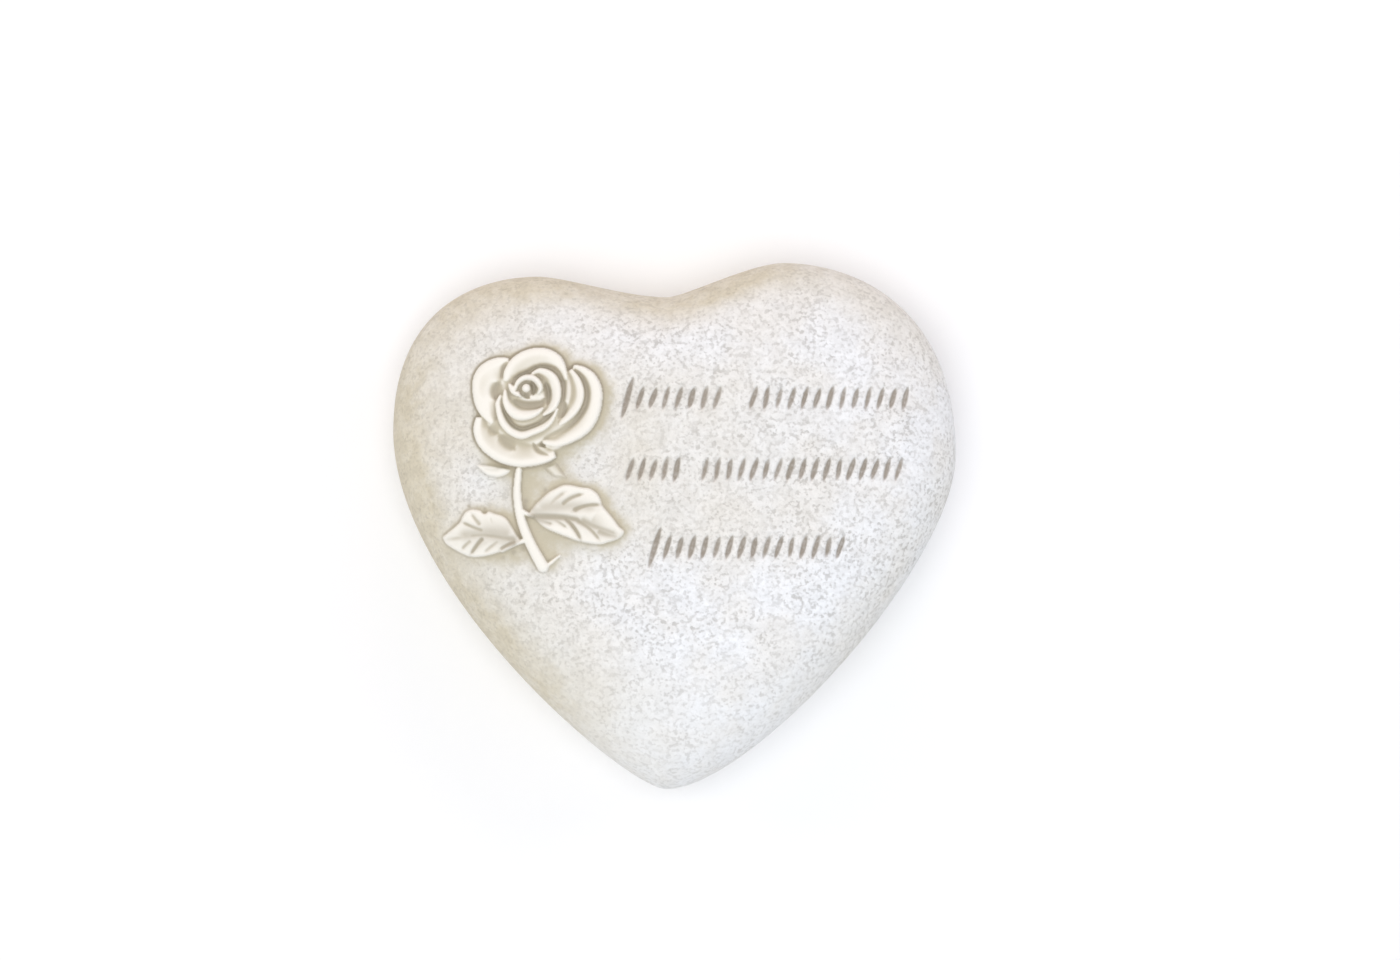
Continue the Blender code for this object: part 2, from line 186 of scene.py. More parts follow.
# Leaves and sepals: share of the leaf's rise, points round the edge, then the valleys as the
# four points that steer each one, its width and its depth.
LEAVES = {
    "left": (1.00,
        ((-0.13, -2.12), (-0.19, -2.02), (-0.28, -1.87), (-0.34, -1.79), (-0.42, -1.74), (-0.52, -1.71),
         (-0.62, -1.68), (-0.68, -1.71), (-0.74, -1.67), (-0.86, -1.65), (-0.97, -1.69), (-1.03, -1.77),
         (-1.09, -1.87), (-1.25, -2.00), (-1.34, -2.08), (-1.31, -2.17), (-1.23, -2.24), (-1.02, -2.35),
         (-0.90, -2.39), (-0.74, -2.39), (-0.59, -2.36), (-0.37, -2.29), (-0.27, -2.23)), (
        (((-0.16, -2.12), (-0.45, -2.09), (-0.66, -2.00), (-0.99, -2.08)), 0.06, 0.80),
        (((-0.26, -2.08), (-0.55, -2.02), (-0.75, -1.99), (-1.12, -2.09)), 0.15, 0.66),
        (((-0.62, -2.12), (-0.72, -2.18), (-0.80, -2.22), (-0.86, -2.30)), 0.06, 0.45),
        (((-0.90, -2.06), (-1.03, -2.09), (-1.17, -2.11), (-1.29, -2.12)), 0.047, 0.50),
        (((-0.69, -1.99), (-0.79, -1.96), (-0.91, -1.91), (-1.03, -1.85)), 0.035, 0.75),
        (((-0.74, -1.91), (-0.79, -1.85), (-0.83, -1.80), (-0.88, -1.72)), 0.035, 0.60),
        (((-0.45, -2.03), (-0.54, -1.94), (-0.58, -1.85), (-0.59, -1.77)), 0.041, 0.40),
        (((-0.69, -2.08), (-0.78, -2.16), (-0.83, -2.25), (-0.90, -2.34)), 0.032, 0.95),
        (((-0.88, -2.12), (-0.94, -2.17), (-0.99, -2.21), (-1.03, -2.27)), 0.035, 0.60),
        (((-0.46, -2.12), (-0.55, -2.19), (-0.62, -2.25), (-0.69, -2.31)), 0.038, 0.60),
        (((-0.20, -2.15), (-0.30, -2.17), (-0.38, -2.21), (-0.46, -2.27)), 0.04, 1.00),
    )),
    "right": (1.00,
        ((-0.04, -1.75), (0.04, -1.61), (0.25, -1.41), (0.37, -1.34), (0.49, -1.29), (0.60, -1.29),
         (0.74, -1.32), (0.88, -1.34), (0.99, -1.41), (1.05, -1.50), (1.10, -1.62), (1.24, -1.79),
         (1.32, -1.90), (1.40, -1.98), (1.37, -2.07), (1.28, -2.13), (1.16, -2.17), (1.02, -2.20),
         (0.74, -2.16), (0.53, -2.09), (0.22, -1.96), (0.07, -1.84)), (
        (((-0.03, -1.78), (0.22, -1.77), (0.53, -1.76), (0.80, -1.85)), 0.062, 1.00),
        (((0.08, -1.68), (0.40, -1.60), (0.72, -1.60), (1.00, -1.66)), 0.12, 0.60),
        (((0.86, -1.84), (0.99, -1.92), (1.10, -2.00), (1.22, -2.06)), 0.11, 0.55),
        (((0.71, -1.82), (0.91, -1.90), (1.10, -1.98), (1.31, -2.04)), 0.062, 0.75),
        (((0.25, -1.69), (0.29, -1.59), (0.38, -1.50), (0.53, -1.40)), 0.05, 0.60),
        (((0.46, -1.62), (0.55, -1.51), (0.65, -1.47), (0.78, -1.44)), 0.038, 0.80),
        (((0.62, -1.69), (0.74, -1.62), (0.88, -1.59), (1.07, -1.60)), 0.038, 0.90),
        (((0.29, -1.78), (0.37, -1.81), (0.46, -1.87), (0.55, -1.94)), 0.035, 0.70),
        (((0.00, -1.71), (0.15, -1.69), (0.30, -1.67), (0.48, -1.68)), 0.085, 0.62),
        (((0.05, -1.78), (0.15, -1.83), (0.24, -1.86), (0.34, -1.88)), 0.045, 0.80),
        (((0.98, -1.97), (1.10, -2.02), (1.20, -2.06), (1.30, -2.07)), 0.06, 0.75),
        (((0.47, -1.76), (0.62, -1.87), (0.71, -2.00), (0.75, -2.13)), 0.032, 1.00),
        (((0.65, -1.81), (0.82, -1.88), (0.94, -1.98), (1.03, -2.13)), 0.038, 0.85),
    )),
    "left sepal": (0.85,
        ((-0.82, -1.00), (-0.69, -1.00), (-0.57, -1.01), (-0.45, -1.03), (-0.34, -1.05), (-0.27, -1.09),
         (-0.34, -1.17), (-0.46, -1.21), (-0.58, -1.20), (-0.68, -1.16), (-0.77, -1.08)), (
        (((-0.45, -1.06), (-0.54, -1.09), (-0.63, -1.09), (-0.70, -1.06)), 0.029, 0.40),
    )),
    "right sepal": (0.38,
        ((0.18, -1.04), (0.28, -1.01), (0.38, -0.98), (0.46, -1.07), (0.55, -1.22), (0.44, -1.21),
         (0.34, -1.19), (0.25, -1.12)), (
        (((0.38, -0.98), (0.46, -1.07), (0.52, -1.16), (0.56, -1.24)), 0.032, 1.00),
        (((0.19, -1.04), (0.26, -1.13), (0.34, -1.19), (0.44, -1.22)), 0.027, 0.80),
    )),
}
# darkness of the stain and painted shade in the veins and folds of the leaves
LEAF_STAIN_AND_SHADE = 0.37
LEAF_LIP = 0.05        # width of the soft edge of a leaf
LEAF_EDGE_RISE = 0.84  # height just inside that edge, as a share of the rise
LEAF_SAMPLES = 200
VEIN_SAMPLES = 60
VEIN_CUT = 0.60        # how far the deepest vein cuts into the leaf's rise
VEIN_TAPER = 0.5       # how much narrower a vein is at its end
VEIN_SHARE = 0.40      # the sharp vein's share of a valley, the rest is a wide fold
FOLD_WIDTH = 2.4       # width of that fold in widths of the vein
VEIN_THIN_DEPTH = 0.6  # depth that a vein keeps as it narrows
VEIN_END_DEPTH = 0.55  # depth that a vein keeps at its ends

# Dark pockets of painted shade and stain between and beside stem, leaves and rose: place and radius
POCKETS = (
    (-0.22, -1.08, 0.055),
    (-0.07, -1.55, 0.055),
    (-0.08, -1.62, 0.050),
    (0.22, -1.38, 0.040),
    (-0.10, -2.24, 0.055),
    (-0.25, -2.30, 0.045),
    (-0.41, -2.38, 0.035),
    (-0.68, -1.66, 0.032),
    (-0.92, -1.62, 0.035),
)
# darkness of the painted shade and stain in the pockets
POCKET_STAIN_AND_SHADE = 0.32
POCKET_WINDOW = 0.2

# Ground darkened beside the carving by stain and painted shade: place, radius and strength
GROUND_STAINS_AND_SHADE = (
    (0.12, -1.30, 0.30, 0.16),
    (0.50, -1.20, 0.24, 0.10),
    (0.34, -2.20, 0.24, 0.13),
    (-0.28, -2.42, 0.20, 0.18),
    (-1.33, -2.27, 0.24, 0.20),
    (1.05, -0.70, 0.30, 0.06),
)

# Painted highlights on patches of the left petals: place, radius and strength
HIGHLIGHT_PATCHES = (
    (-0.63, -0.15, 0.17, 0.55),
    (-0.57, 0.33, 0.16, 0.40),
)

# Rows of strokes: middle, then words as start, end and whether the first stroke is tall
ROWS = (
    (0.478, ((-0.160, 0.150, True), (0.275, 0.805, False))),
    (0.215, ((-0.150, 0.010, False), (0.108, 0.780, False))),
    (-0.072, ((-0.065, 0.575, True),)),
)
STROKE_HEIGHT = 0.0080
TALL_STROKE_HEIGHT = 0.0135
STROKE_WIDTH = 0.0016
STROKE_DEPTH = 0.0008
STROKE_PITCH = 0.0034
STROKE_LEAN = radians(17)
STROKE_SEED = 7
STROKE_MARGIN = 0.002  # room beside a stroke in its window
INK_BLUR = 0.00022
SHORTER_STROKE = 0.88  # every third stroke is shorter by this factor

# Range of each stroke's bend, and of its width and depth as shares of the usual
STROKE_BENDS = (-0.10, 0.22)
STROKE_WIDTHS = (0.92, 1.12)
STROKE_DEPTHS = (0.85, 1.1)

# How the carving wears, gathers dirt and takes painted light and shade: reaches in metres, and shares
HALO_SHIFT = 0.0012       # the halo of stain and painted shadow lies shifted to the right of what stands out
NEAR_HALO = 0.0015        # reach of the dark seam of stain and painted shade round the carving
WIDE_HALO = 0.0046        # reach of the faint stain and painted shadow beyond it
DIRT_AND_SHADE_REACH = 0.0011       # dirt and painted shade lie where the stone within this reach stands higher
DIRT_AND_SHADE_SHARE = 0.34
SLOPE_SHADE = 0.06         # share of painted shade on the slopes inside the petals
LESS_ON_LEAVES = 0.00016  # leaves and stem get less dirt and painted shade than the rose
FOOT_REACH = 0.0006       # width of the dark line of painted shade and stain at the foot of the carving
FOOT_GROOVE = 0.00018     # depth of that line
FOOT_BLUR = 0.00018
LIGHT_BLUR = 0.0004       # blur of the relief before its slopes are read
SOFTENING = 0.00017       # blur of the finished relief, as worn stone has no sharp edges

# Mesh of the face and the side
MAP_STEP = 0.0002       # spacing of the height maps
FINE_STEP = 0.00027     # spacing of points on the carving
COARSE_FACTOR = 3       # spacing elsewhere, in fine steps
RELIEF_LIMIT = 0.00004  # what rises or sinks by more than this gets the fine spacing
DETAIL_BLUR = 0.0004    # and so does the ground close to it
DETAIL_LIMIT = 0.08
RIM_SHARE = 0.93        # from here to the underside the surface is made of rings
RIM_GAP = 0.008         # the face's own points keep this far inside the rim
RIM_POINTS = 480
FACE_RINGS = 12         # on the rolled edge of the face

# Heights of the rings down the side, as shares of the widest height
SIDE_HEIGHTS = (0.90, 0.78, 0.66, 0.54, 0.42, 0.30, 0.19, 0.09, 0.025)
BOTTOM_EDGE = 0.003  # how far the lowest ring lies inside the one above
UNDERSIDE_RINGS = (0.8, 0.5, 0.2)
MARGIN = 0.002       # of the maps round the heart

# Waves of the cast face: length in metres, direction and phase in radians
WAVES = (
    (0.031, 0.4, 0.0),
    (0.023, 2.1, 1.3),
    (0.013, 1.2, 2.2),
    (0.009, 2.9, 0.7),
    (0.006, 0.1, 4.0),
)
WAVE_SHARE = 0.0022     # height of a wave as a share of its length
WAVE_BEND = 1.7         # how far the waves wander, in radians
WAVE_BEND_LENGTH = 1.4  # over this many times their own length
WAVE_FADE = 0.06        # they fade out over this share before the rim

# Texture map: the face and side in one island, the underside in a small one
MAP_FILL = 0.98
MAP_BORDER = 0.01
SIDE_SPREAD = 0.38 * WIDTH  # the side lies round the face as if the rim had this radius
UNDERSIDE_ISLAND = 0.24     # size of the underside as a share of the map
UNDERSIDE_BORDER = 0.004

# Sizes of the patterns in the stone, in metres
CLOUDS = 0.018
PATCHES = 0.011
MOTTLES = 0.0042
HALO_CLOUDS = 0.0032
PORE_CLUSTERS = 0.0023
SPECKS = 0.0019
PORES = 0.00112
GRAIN = 0.0011
FINE_GRAIN = 0.0004

# Colours of the stone as a screen shows them, from 0 to 255
COOL_STONE = (243, 245, 248)
WARM_STONE = (239, 238, 236)
# warm darker colour of the painted warm light and painted shade on the left and the rim
WARM_TINT_AND_SHADE = (216, 208, 188)
DARK_PORE = (112, 105, 92)
# beige of the stain and painted shadow round the carving
HALO_STAIN_AND_SHADOW = (195, 187, 165)
# pale of the worn tops and their painted highlight
WORN_PALE_AND_HIGHLIGHT = (244, 241, 233)
# dark line of painted shade and stain at the foot of the carving
FOOT_LINE = (162, 153, 134)
# brown of the stain and painted shade in the hollows, veins and pockets
HOLLOW_STAIN_AND_SHADE = (175, 167, 150)
STROKE_STAIN = (150, 140, 127)

# Round lamps: place, diameter, watts and colour
LAMPS = {
    "overhead": ((-0.10, -0.08, 1.25), 1.1, 8.3, (0.99, 0.995, 1.0)),
    "warm side": ((-0.85, 0.38, 0.45), 0.5, 1.3, (1.0, 0.90, 0.74)),
    "right side": ((0.82, 0.50, 0.50), 0.6, 1.75, (0.86, 0.93, 1.0)),
    "cool side": ((-0.12, -0.92, 0.45), 0.5, 1.25, (0.76, 0.88, 1.0)),
    "pink top": ((0.15, 0.90, 0.36), 0.5, 1.1, (1.0, 0.64, 0.66)),
}
LAMP_TARGET = (0, 0, 0.03)
ROOM_COLOUR = (0.97, 0.97, 1.0, 1.0)
ROOM_STRENGTH = 0.52
FLOOR_REACH = 3.0
FLOOR_COLOUR = (0.93, 0.93, 0.93, 1.0)
FLOOR_ROUGHNESS = 0.9

# The photograph: its width, the heart's scale in it and the camera's place
PHOTO_WIDTH = 1400
PIXELS_ACROSS_HEART = 562.5
LENS = 70.0
SENSOR = 36.0
CAMERA_X = 0.00725
CAMERA_Y = 0.01308


class HeightMaps:
    """Square maps over the ground plane: how high the carving stands, and the stain, wear and painted light
    and shade laid on it.
    """

    def __init__(self):
        self.x = np.arange(-WIDTH / 2 - MARGIN, WIDTH / 2 + MARGIN, MAP_STEP)
        self.y = np.arange(-LENGTH / 2 - MARGIN, LENGTH / 2 + MARGIN, MAP_STEP)
        self.across, self.up = np.meshgrid(self.x, self.y)
        for name in ("relief", "hollow", "raised", "foot", "halo", "ink"):
            setattr(self, name, np.zeros_like(self.across))

    def window(self, left, right, low, high):
        """Slices that cover a rectangle of the plane."""
        i0, i1 = np.searchsorted(self.y, (low, high))
        j0, j1 = np.searchsorted(self.x, (left, right))
        return slice(max(i0, 0), i1), slice(max(j0, 0), j1)

    def rose_window(self, left, right, low, high):
        """Slices for a rectangle given in rose radii, with the coordinates of its cells."""
        part = self.window(ROSE_X + left * ROSE_RADIUS, ROSE_X + right * ROSE_RADIUS,
                           ROSE_Y + low * ROSE_RADIUS, ROSE_Y + high * ROSE_RADIUS)
        u = (self.across[part] - ROSE_X) / ROSE_RADIUS
        v = (self.up[part] - ROSE_Y) / ROSE_RADIUS
        return part, u, v

    def whole_rose(self):
        """The same for the window round the whole rose."""
        return self.rose_window(-ROSE_REACH, ROSE_REACH, -ROSE_REACH, ROSE_REACH)

    def window_round(self, points, margin):
        """The same for the window round some points."""
        low, high = points.min(0) - margin, points.max(0) + margin
        return self.rose_window(low[0], high[0], low[1], high[1])

    def spot(self, u, v, radius):
        """A soft round spot that is 1 in its middle, with place and radius in rose radii."""
        away = np.hypot(self.across - ROSE_X - u * ROSE_RADIUS, self.up - ROSE_Y - v * ROSE_RADIUS)
        return np.exp(-(away / (radius * ROSE_RADIUS)) ** 2)

    def read(self, field, x, y):
        """Values of a map at points, by bilinear interpolation."""
        fx = np.clip((x - self.x[0]) / MAP_STEP, 0, len(self.x) - 1.001)
        fy = np.clip((y - self.y[0]) / MAP_STEP, 0, len(self.y) - 1.001)
        j, i = fx.astype(int), fy.astype(int)
        a, b = fx - j, fy - i
        low = field[i, j] * (1 - a) + field[i, j + 1] * a
        high = field[i + 1, j] * (1 - a) + field[i + 1, j + 1] * a
        return low * (1 - b) + high * b


def smooth(low, high, value):
    """A soft step from 0 at low to 1 at high."""
    t = np.clip((value - low) / (high - low), 0, 1)
    return t * t * (3 - 2 * t)


def at_least(low, share):
    """A share from 0 to 1 raised so that it starts from low."""
    return low + (1 - low) * share


def bell(value, middle, width):
    """A soft bump that is 1 at the middle."""
    return np.exp(-((value - middle) / width) ** 2)


def blurred(field, radius):
    """A map blurred by a bell curve of the given radius in metres."""
    rows = np.fft.fftfreq(field.shape[0], MAP_STEP)
    cols = np.fft.rfftfreq(field.shape[1], MAP_STEP)
    spread = np.exp(-2 * (pi * radius) ** 2 * (rows[:, None] ** 2 + cols[None, :] ** 2))
    return np.fft.irfft2(np.fft.rfft2(field) * spread, s=field.shape)


def outline_points(count):
    """Evenly spaced points round the outline, anticlockwise from the tip."""
    dense = []
    for turn, next_turn in zip(OUTLINE, OUTLINE[1:] + OUTLINE[:1]):
        place, heading, _, after = turn
        end, end_heading, before, _ = next_turn
        start, stop = Vector(place), Vector(end)
        curve = interpolate_bezier(start, start + Vector(heading) * after,
                                   stop - Vector(end_heading) * before, stop, SPAN_POINTS)
        dense += [(p.x * WIDTH / 2, p.y * LENGTH / 2) for p in curve[:-1]]
    dense = np.array(dense + dense[:1])
    run = np.concatenate(([0], np.cumsum(np.hypot(*np.diff(dense, axis=0).T))))
    even = np.linspace(0, run[-1], count, endpoint=False)
    return np.stack([np.interp(even, run, dense[:, k]) for k in (0, 1)], axis=1)


OUTLINE_DENSE = outline_points(OUTLINE_POINTS)
OUTLINE_ANGLES = np.unwrap(np.arctan2(OUTLINE_DENSE[:, 1], OUTLINE_DENSE[:, 0]))
OUTLINE_RADII = np.hypot(*OUTLINE_DENSE.T)


def edge_share(x, y):
    """How far points lie on the way from the centre to the edge."""
    reach = np.interp(np.arctan2(y, x), OUTLINE_ANGLES, OUTLINE_RADII, period=2 * pi)
    return np.hypot(x, y) / reach


def face_height(x, y, share):
    """Height of the plain face."""
    crown = 1 - (2 * x / WIDTH) ** 2 - (2 * y / LENGTH) ** 2
    roll = np.sqrt(1 - np.minimum(share, 1) ** ROLL_POWER)
    return WIDEST_HEIGHT + (EDGE_RISE + DOME_RISE * crown) * roll


def soft_curve(points, count, closed=False):
    """Points of a soft curve through the given ones."""
    p = np.array(points, dtype=float)
    if closed:
        p = np.vstack([p[-1:], p, p[:2]])
    else:
        p = np.vstack([2 * p[0] - p[1], p, 2 * p[-1] - p[-2]])
    spans = len(p) - 3
    place = np.linspace(0, spans, count, endpoint=not closed)
    i = np.minimum(place.astype(int), spans - 1)
    f = (place - i)[:, None]
    a, b, c, d = p[i], p[i + 1], p[i + 2], p[i + 3]
    squared = 2 * a - 5 * b + 4 * c - d
    cubed = 3 * b - a - 3 * c + d
    return (2 * b + (c - a) * f + squared * f ** 2 + cubed * f ** 3) / 2


def steered_curve(points, count):
    """Points of the curve that four points steer."""
    return np.array(interpolate_bezier(*(Vector(p) for p in points), count))[:, :2]


def nearest_on(curve, u, v):
    """Distance from cells to a curve, and the number of its nearest point."""
    gap = np.full(u.shape, np.inf)
    index = np.zeros(u.shape, dtype=int)
    for number, (a, b) in enumerate(curve):
        here = np.hypot(u - a, v - b)
        closer = here < gap
        gap[closer] = here[closer]
        index[closer] = number
    return gap, index


def curve_coordinates(curve, u, v):
    """Where cells lie beside a curve: the run from 0 to 1, the overshoot past its ends and the
    distance away from the rose's centre."""
    _, index = nearest_on(curve, u, v)
    way = np.gradient(curve, axis=0)
    way /= np.hypot(way[:, 0], way[:, 1])[:, None]
    du, dv = u - curve[index, 0], v - curve[index, 1]
    along = du * way[index, 0] + dv * way[index, 1]
    aside = du * way[index, 1] - dv * way[index, 0]
    middle = len(curve) // 2
    outward = curve[middle] - ROSE_HEART
    turn = np.sign(way[middle, 1] * outward[0] - way[middle, 0] * outward[1])
    last = len(curve) - 1
    before = np.where(index == 0, np.maximum(-along, 0), 0)
    past = np.where(index == last, np.maximum(along, 0), before)
    return index / last, past, aside * turn


def add_petal(maps, points, widths, slope, rise):
    """One petal: a lip that is steep outside and round on top, and a slope inside it."""
    part, u, v = maps.whole_rose()
    t, past, out = curve_coordinates(soft_curve(points, LIP_SAMPLES), u, v)
    start, middle, end = widths
    width = start * (1 - t) * (1 - 2 * t) + middle * 4 * t * (1 - t) + end * t * (2 * t - 1)
    swell = np.sin(pi * t) ** SWELL_POWER
    half = width / 2 * at_least(LIP_END_WIDTH, swell)
    place = np.hypot(np.maximum(out, 0) / half, past / half)
    crest = at_least(LIP_FOOT, np.sqrt(np.clip(1 - place ** LIP_ROUNDING, 0, 1)))
    down = -out / (half + slope * at_least(LIP_END_SLOPE, swell))
    fall = smooth(0.0, 1.0, down)
    lip = rise * crest * at_least(LIP_END_RISE, swell)
    high = ROSE_RISE * (lip * (1 - fall) + FLOOR_RISE * fall)
    inside = (place < 1) & (down < 1)
    share = np.where(inside, smooth(1.0, 0.8, down) * smooth(1.0, 0.2, past / half), 0)
    below = maps.relief[part]
    lapped = np.where(out > 0, np.maximum(below, high), high)
    maps.relief[part] = below * (1 - share) + lapped * share


def add_hollow(maps, points, width, depth):
    """A dark gap between lips, marked for the cut and for the stain and painted shade in it."""
    part, u, v = maps.whole_rose()
    curve = soft_curve(points, HOLLOW_SAMPLES)
    gap, index = nearest_on(curve, u, v)
    swell = np.sin(pi * index / (len(curve) - 1)) ** SWELL_POWER
    half = width / 2 * at_least(HOLLOW_END_WIDTH, swell)
    pit = depth * at_least(HOLLOW_END_DEPTH, swell) * np.exp(-HOLLOW_FALL * (gap / half) ** 2)
    maps.hollow[part] = np.maximum(maps.hollow[part], pit)


def add_cushion(maps):
    """The low mound that the petals stand on."""
    part, u, v = maps.whole_rose()
    reach = np.interp(np.degrees(np.arctan2(v, u)), CUSHION_ANGLES, CUSHION_RADII, period=360)
    place = np.hypot(u, v) / reach
    maps.relief[part] = ROSE_RISE * CUSHION_RISE * smooth(1.02, 0.90, place)


def add_bud(maps):
    """The round bud in the cup, with a painted shadow as a dark ring at its lower right."""
    part, u, v = maps.rose_window(-0.5, 0.5, -0.5, 0.5)
    aside, above = u - BUD_PLACE[0], v - BUD_PLACE[1]
    place = np.hypot(aside, above) / BUD_RADIUS
    ball = ROSE_RISE * (BUD_BASE + BUD_RISE * np.sqrt(np.clip(1 - place ** 2, 0, 1)))
    below = maps.relief[part]
    maps.relief[part] = np.where(place < 1, np.maximum(below, ball), below)
    # painted shadow as a ring at the bud's lower right
    lower_right = smooth(-0.9, 0.4, (aside - above) / BUD_RADIUS)
    ring = BUD_SHADOW * bell(place, BUD_RING, BUD_RING_WIDTH) * lower_right
    maps.hollow[part] = np.maximum(maps.hollow[part], ring)


def carve_rose(maps):
    """Cushion, petals, the hollows between them and the bud."""
    add_cushion(maps)
    for shape in PETALS.values():
        add_petal(maps, *shape)
    lips = smooth(0.46, 0.86, maps.relief / ROSE_RISE)
    for shape in HOLLOWS:
        add_hollow(maps, *shape)
    maps.hollow *= 1 - CLEAN_LIPS * lips
    maps.relief -= maps.hollow * ROSE_RISE
    add_bud(maps)


def add_ridge(maps, points, widths, rise):
    """A rounded ridge along a curve, such as the stem."""
    curve = steered_curve(points, RIDGE_SAMPLES)
    part, u, v = maps.window_round(curve, 0.2)
    gap, index = nearest_on(curve, u, v)
    half = (widths[0] + (widths[1] - widths[0]) * index / len(curve)) / 2
    body = np.sqrt(np.clip(1 - (gap / half) ** RIDGE_ROUNDING, 0, 1))
    ridge = np.where(gap < half, rise * at_least(RIDGE_FOOT, body), 0)
    maps.relief[part] = np.maximum(maps.relief[part], ridge)


def within(ring, u, v):
    """Whether cells lie inside a closed ring of points."""
    odd = np.zeros(u.shape, dtype=bool)
    for (ax, ay), (bx, by) in zip(ring, np.roll(ring, -1, axis=0)):
        if ay != by:
            odd ^= ((ay > v) != (by > v)) & (u < (bx - ax) * (v - ay) / (by - ay) + ax)
    return odd


def leaf_groove(valleys, u, v):
    """How deep the folds and veins of a leaf are, as a share: the deepest one at each cell."""
    groove = np.zeros_like(u)
    for points, width, strength in valleys:
        curve = steered_curve(points, VEIN_SAMPLES)
        gap, index = nearest_on(curve, u, v)
        run = index / (len(curve) - 1)
        taper = 1 - VEIN_TAPER * run
        ends = smooth(0, 0.12, run) * smooth(1, 0.85, run)
        fade = at_least(VEIN_THIN_DEPTH, taper) * at_least(VEIN_END_DEPTH, ends)
        vein = np.exp(-(gap / (width * taper)) ** 2)
        fold = np.exp(-(gap / (FOLD_WIDTH * width * taper)) ** 2)
        valley = VEIN_SHARE * vein + (1 - VEIN_SHARE) * fold
        groove = np.maximum(groove, strength * fade * valley)
    return groove


def add_leaf(maps, rise, edge, valleys):
    """A leaf or sepal: a soft bright edge, folds, and the sunken veins between them, darkened by stain and
    painted shade.
    """
    ring = soft_curve(edge, LEAF_SAMPLES, closed=True)
    part, u, v = maps.window_round(ring, 0.1)
    depth, _ = nearest_on(ring, u, v)
    inside = within(ring, u, v)
    groove = leaf_groove(valleys, u, v)
    body = smooth(0, LEAF_LIP, depth) * at_least(LEAF_EDGE_RISE, smooth(0.06, 0.24, depth))
    height = LEAF_RISE * rise * body * (1 - VEIN_CUT * groove)
    below = maps.relief[part]
    maps.relief[part] = np.where(inside, np.maximum(below, height), below)
    # stain and painted shade in the veins and folds
    darkening = groove * LEAF_STAIN_AND_SHADE * min(1, 2 * rise)
    maps.hollow[part] = np.maximum(maps.hollow[part], np.where(inside, darkening, 0))


def add_pocket(maps, x, y, radius):
    """A dark spot of painted shade and stain on the ground, which fades out where the carving stands."""
    part, u, v = maps.rose_window(x - POCKET_WINDOW, x + POCKET_WINDOW,
                                  y - POCKET_WINDOW, y + POCKET_WINDOW)
    ground = smooth(0.0006, 0.0002, maps.relief[part])
    pit = np.exp(-(np.hypot(u - x, v - y) / radius) ** 2) * ground * POCKET_STAIN_AND_SHADE
    maps.hollow[part] = np.maximum(maps.hollow[part], pit)


def stroke_places():
    """Centre and height of every engraved stroke."""
    strokes = []
    for middle, words in ROWS:
        for start, end, tall_first in words:
            left, right = start * WIDTH / 2, end * WIDTH / 2
            gaps = max(round((right - left) / STROKE_PITCH), 1)
            for count in range(gaps + 1):
                height = TALL_STROKE_HEIGHT if tall_first and count == 0 else STROKE_HEIGHT
                if count % 3 == 2:
                    height *= SHORTER_STROKE
                strokes.append((left + (right - left) * count / gaps, middle * LENGTH / 2, height))
    return strokes


def add_strokes(maps):
    """Shallow leaning grooves with worn ends, darkened by the stain that settles in them."""
    rng = np.random.default_rng(STROKE_SEED)
    groove = np.zeros_like(maps.relief)
    for x, y, height in stroke_places():
        reach = height * 0.6
        aside = reach * 0.5 + STROKE_MARGIN
        part = maps.window(x - aside, x + aside, y - reach, y + reach)
        u, v = maps.across[part] - x, maps.up[part] - y
        along = (u * sin(STROKE_LEAN) + v * cos(STROKE_LEAN)) / (height / 2)
        bend = rng.uniform(*STROKE_BENDS)
        across = u * cos(STROKE_LEAN) - v * sin(STROKE_LEAN)
        across = across - bend * STROKE_WIDTH * (along ** 3 - along) * 2
        taper = 1 - np.clip(np.abs(along), 0, 1) ** 2.5
        half = STROKE_WIDTH / 2 * taper * rng.uniform(*STROKE_WIDTHS)
        place = np.abs(across) / np.maximum(half, 1e-5)
        shallow_ends = np.clip(half / STROKE_WIDTH * 2, 0, 1) ** 0.5
        cut = np.sqrt(np.clip(1 - place ** 1.6, 0, 1)) * shallow_ends
        cut = np.where(np.abs(along) < 1, cut, 0) * rng.uniform(*STROKE_DEPTHS)
        groove[part] = np.maximum(groove[part], cut)
    maps.relief -= groove * STROKE_DEPTH
    maps.ink = blurred(groove, INK_BLUR)


def wear_dirt_and_painted_light(maps, standing):
    """What stands above its surroundings is worn pale with a painted highlight, and what lies below keeps
    dirt and painted shade; the slopes inside the petals get painted shade too.
    """
    covered = smooth(0.0003, 0.0008, standing)
    dip = blurred(standing, DIRT_AND_SHADE_REACH) - standing
    on_rose = np.hypot(maps.across - ROSE_X, maps.up - ROSE_Y) < ROSE_RADIUS * 1.02
    dip -= np.where(on_rose, 0, LESS_ON_LEAVES)
    # painted shade on the lower slopes inside the petals
    slopes = smooth(0.72, 0.38, standing / ROSE_RISE) * covered * on_rose
    # dirt and painted shade where the stone nearby stands higher
    dirt_and_shade = covered * DIRT_AND_SHADE_SHARE * smooth(-0.0001, 0.0008, dip)
    maps.hollow = np.maximum(np.maximum(maps.hollow, SLOPE_SHADE * slopes), dirt_and_shade)
    # worn pale with a painted highlight where the stone stands above its surroundings
    maps.raised = covered * smooth(0.0002, -0.0003, dip)
    # painted highlights on the left petals
    for u, v, radius, strength in HIGHLIGHT_PATCHES:
        highlight = strength * maps.spot(u, v, radius)
        maps.raised = np.minimum(maps.raised + highlight * covered, 1)


